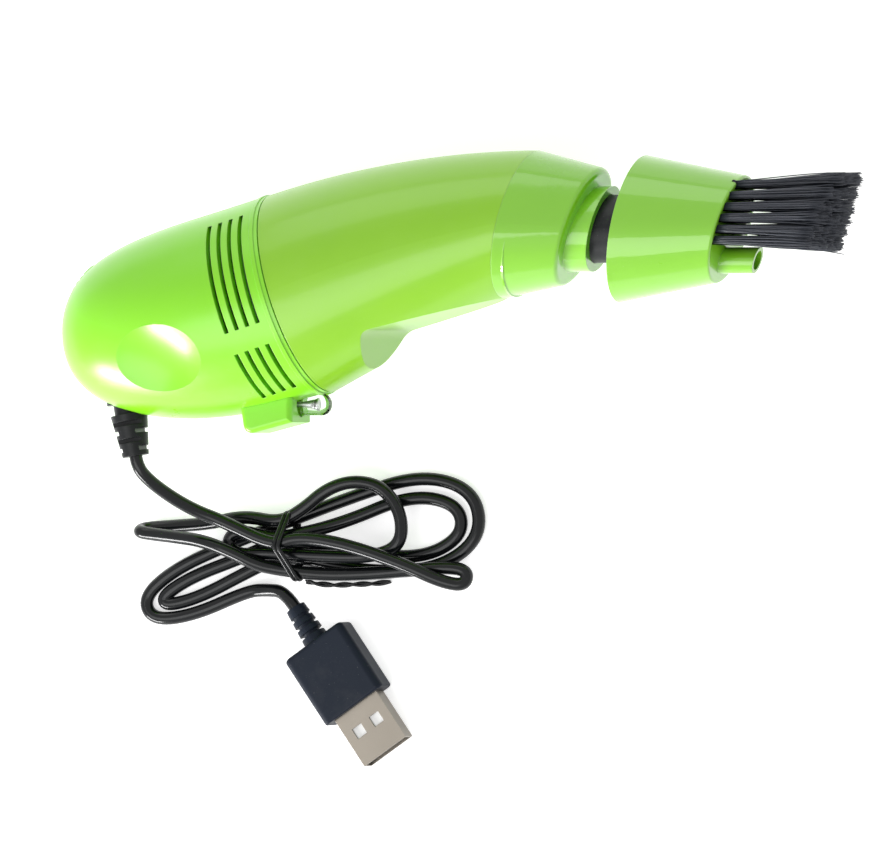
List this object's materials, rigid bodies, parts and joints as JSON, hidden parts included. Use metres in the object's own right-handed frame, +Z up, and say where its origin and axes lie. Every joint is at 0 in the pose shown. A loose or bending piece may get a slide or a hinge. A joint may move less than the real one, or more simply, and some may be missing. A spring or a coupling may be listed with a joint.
{
  "type": "mini vacuum cleaner",
  "caption": "Small cord-powered keyboard vacuum: rounded clamshell body with lamp and slide switch, pull-off dust chamber, tube nose and bristled brush head.",
  "frame": {"origin": "bottom centre of the box round the cleaner without its cord and plug, lying on its left flank", "axes": "+X to the brush, +Y the tool's own up, +Z up from the table it lies on"},
  "size_m": [0.1874, 0.1375, 0.0445],
  "materials": {
    "rear_green": "gloss moulded ABS, lime green",
    "chamber_green": "gloss moulded ABS, slightly yellower green",
    "nose_green": "gloss moulded ABS, brighter green",
    "black_plastic": "satin black moulded plastic",
    "cord_rubber": "black cord jacket",
    "plug_rubber": "black moulded overmould",
    "bristle_nylon": "black nylon strands",
    "lamp_clear": "water-clear lamp",
    "steel": "bright steel",
    "shell_steel": "plug shell steel",
    "contact_gold": "gold-coloured contact metal",
    "white_plastic": "white insulator",
    "grey_plastic": "grey inner moulding",
    "copper": "copper",
    "magnet": "ferrite magnet",
    "carbon": "carbon",
    "cloth": "filter cloth",
    "wire_jacket": "thin wire jacket",
    "resistor_body": "resistor body"
  },
  "bodies": {
    "housing": {"rear_shell_right": "rear_green", "rear_shell_left": "rear_green", "lamp_housing": "rear_green", "switch_body": "grey_plastic", "switch_pins": "steel", "housing_screws": "steel", "strain_relief": "plug_rubber", "led_bulb": "lamp_clear", "led_leads": "steel", "lamp_resistor": "resistor_body", "fan_cover": "grey_plastic", "fan_back_plate": "grey_plastic", "motor_can": "steel", "motor_end_cap": "white_plastic", "motor_magnets": "magnet", "motor_bushes": "contact_gold", "motor_brushes": "carbon", "motor_terminals": "contact_gold", "supply_wires": "wire_jacket", "cord_lead": "cord_rubber", "cord_hank": "cord_rubber", "cord_tail": "cord_rubber", "cord_tie": "cord_rubber", "plug_overmould": "plug_rubber", "plug_shell": "shell_steel", "plug_insulator": "white_plastic", "plug_contacts": "contact_gold"},
    "brush": {"brush_head": "nose_green", "bristle_row_1": "bristle_nylon", "bristle_row_2": "bristle_nylon", "bristle_row_3": "bristle_nylon", "bristle_row_4": "bristle_nylon", "bristle_row_5": "bristle_nylon", "bristle_row_6": "bristle_nylon"},
    "chamber": {"dust_chamber": "chamber_green", "nose_cone": "nose_green", "coupling_tube": "black_plastic"},
    "filter": {"filter_frame": "grey_plastic", "filter_cloth": "cloth"},
    "rotor": {"impeller": "grey_plastic", "armature_core": "steel", "armature_windings": "copper", "commutator": "copper", "motor_shaft": "steel"},
    "slider": {"switch_slider": "rear_green"}
  },
  "joints": [
    {"name": "switch_slide", "type": "slide", "parent": "housing", "child": "slider", "axis": [0.417, 0.9089, 0], "range_m": [-0.003, 0]},
    {"name": "chamber_slide", "type": "slide", "parent": "housing", "child": "chamber", "axis": [0.955, 0.2967, 0], "range_m": [0, 0.025]},
    {"name": "brush_slide", "type": "slide", "parent": "chamber", "child": "brush", "axis": [1, 0, 0], "range_m": [-0.007, 0.008]},
    {"name": "filter_slide", "type": "slide", "parent": "housing", "child": "filter", "axis": [0.955, 0.2967, 0], "range_m": [0, 0.009]},
    {"name": "rotor_spin", "type": "hinge", "parent": "housing", "child": "rotor", "pos_m": [-0.03815, 0.00235, 0.02225], "axis": [0.955, 0.2967, 0], "continuous": true}
  ]
}
